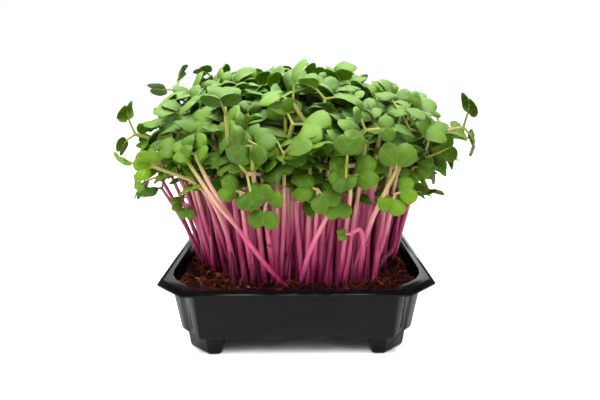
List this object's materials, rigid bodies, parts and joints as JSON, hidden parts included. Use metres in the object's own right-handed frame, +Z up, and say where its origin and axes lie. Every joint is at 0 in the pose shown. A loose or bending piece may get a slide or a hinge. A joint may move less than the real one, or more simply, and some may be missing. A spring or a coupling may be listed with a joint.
{
  "type": "microgreens tray",
  "caption": "Shallow black plastic tray on four feet, filled with coir and thickly grown with pink-stemmed radish microgreens under a dense crown of notched green seed leaves.",
  "frame": {"origin": "on the surface that the tray stands on, below the middle of the tray", "axes": "+Z up; +X to the right along the tray's short side, the object's longest extent over the leaves; +Y towards the back, along the tray's long side"},
  "size_m": [0.168, 0.148, 0.1225],
  "materials": {
    "tray": "gloss",
    "coir": "damp, fibrous",
    "stem": "satin plant skin",
    "leaf": "satin leaf"
  },
  "bodies": {
    "root": {"tray": "tray", "growing_medium": "coir", "stems_01": "stem", "stems_02": "stem", "stems_03": "stem", "stems_04": "stem", "stems_05": "stem", "stems_06": "stem", "stems_07": "stem", "stems_08": "stem", "stems_09": "stem", "stems_10": "stem", "stems_11": "stem", "stems_12": "stem", "stems_13": "stem", "stems_14": "stem", "stems_15": "stem", "stems_16": "stem", "stems_17": "stem", "stems_18": "stem", "stems_19": "stem", "stems_20": "stem", "stems_21": "stem", "stems_22": "stem", "stems_23": "stem", "stems_24": "stem", "leaves_01": "leaf", "leaves_02": "leaf", "leaves_03": "leaf", "leaves_04": "leaf", "leaves_05": "leaf", "leaves_06": "leaf", "leaves_07": "leaf", "leaves_08": "leaf", "leaves_09": "leaf", "leaves_10": "leaf", "leaves_11": "leaf", "leaves_12": "leaf", "leaves_13": "leaf", "leaves_14": "leaf", "leaves_15": "leaf", "leaves_16": "leaf", "leaves_17": "leaf", "leaves_18": "leaf", "leaves_19": "leaf", "leaves_20": "leaf", "leaves_21": "leaf", "leaves_22": "leaf", "leaves_23": "leaf", "leaves_24": "leaf"}
  },
  "joints": []
}
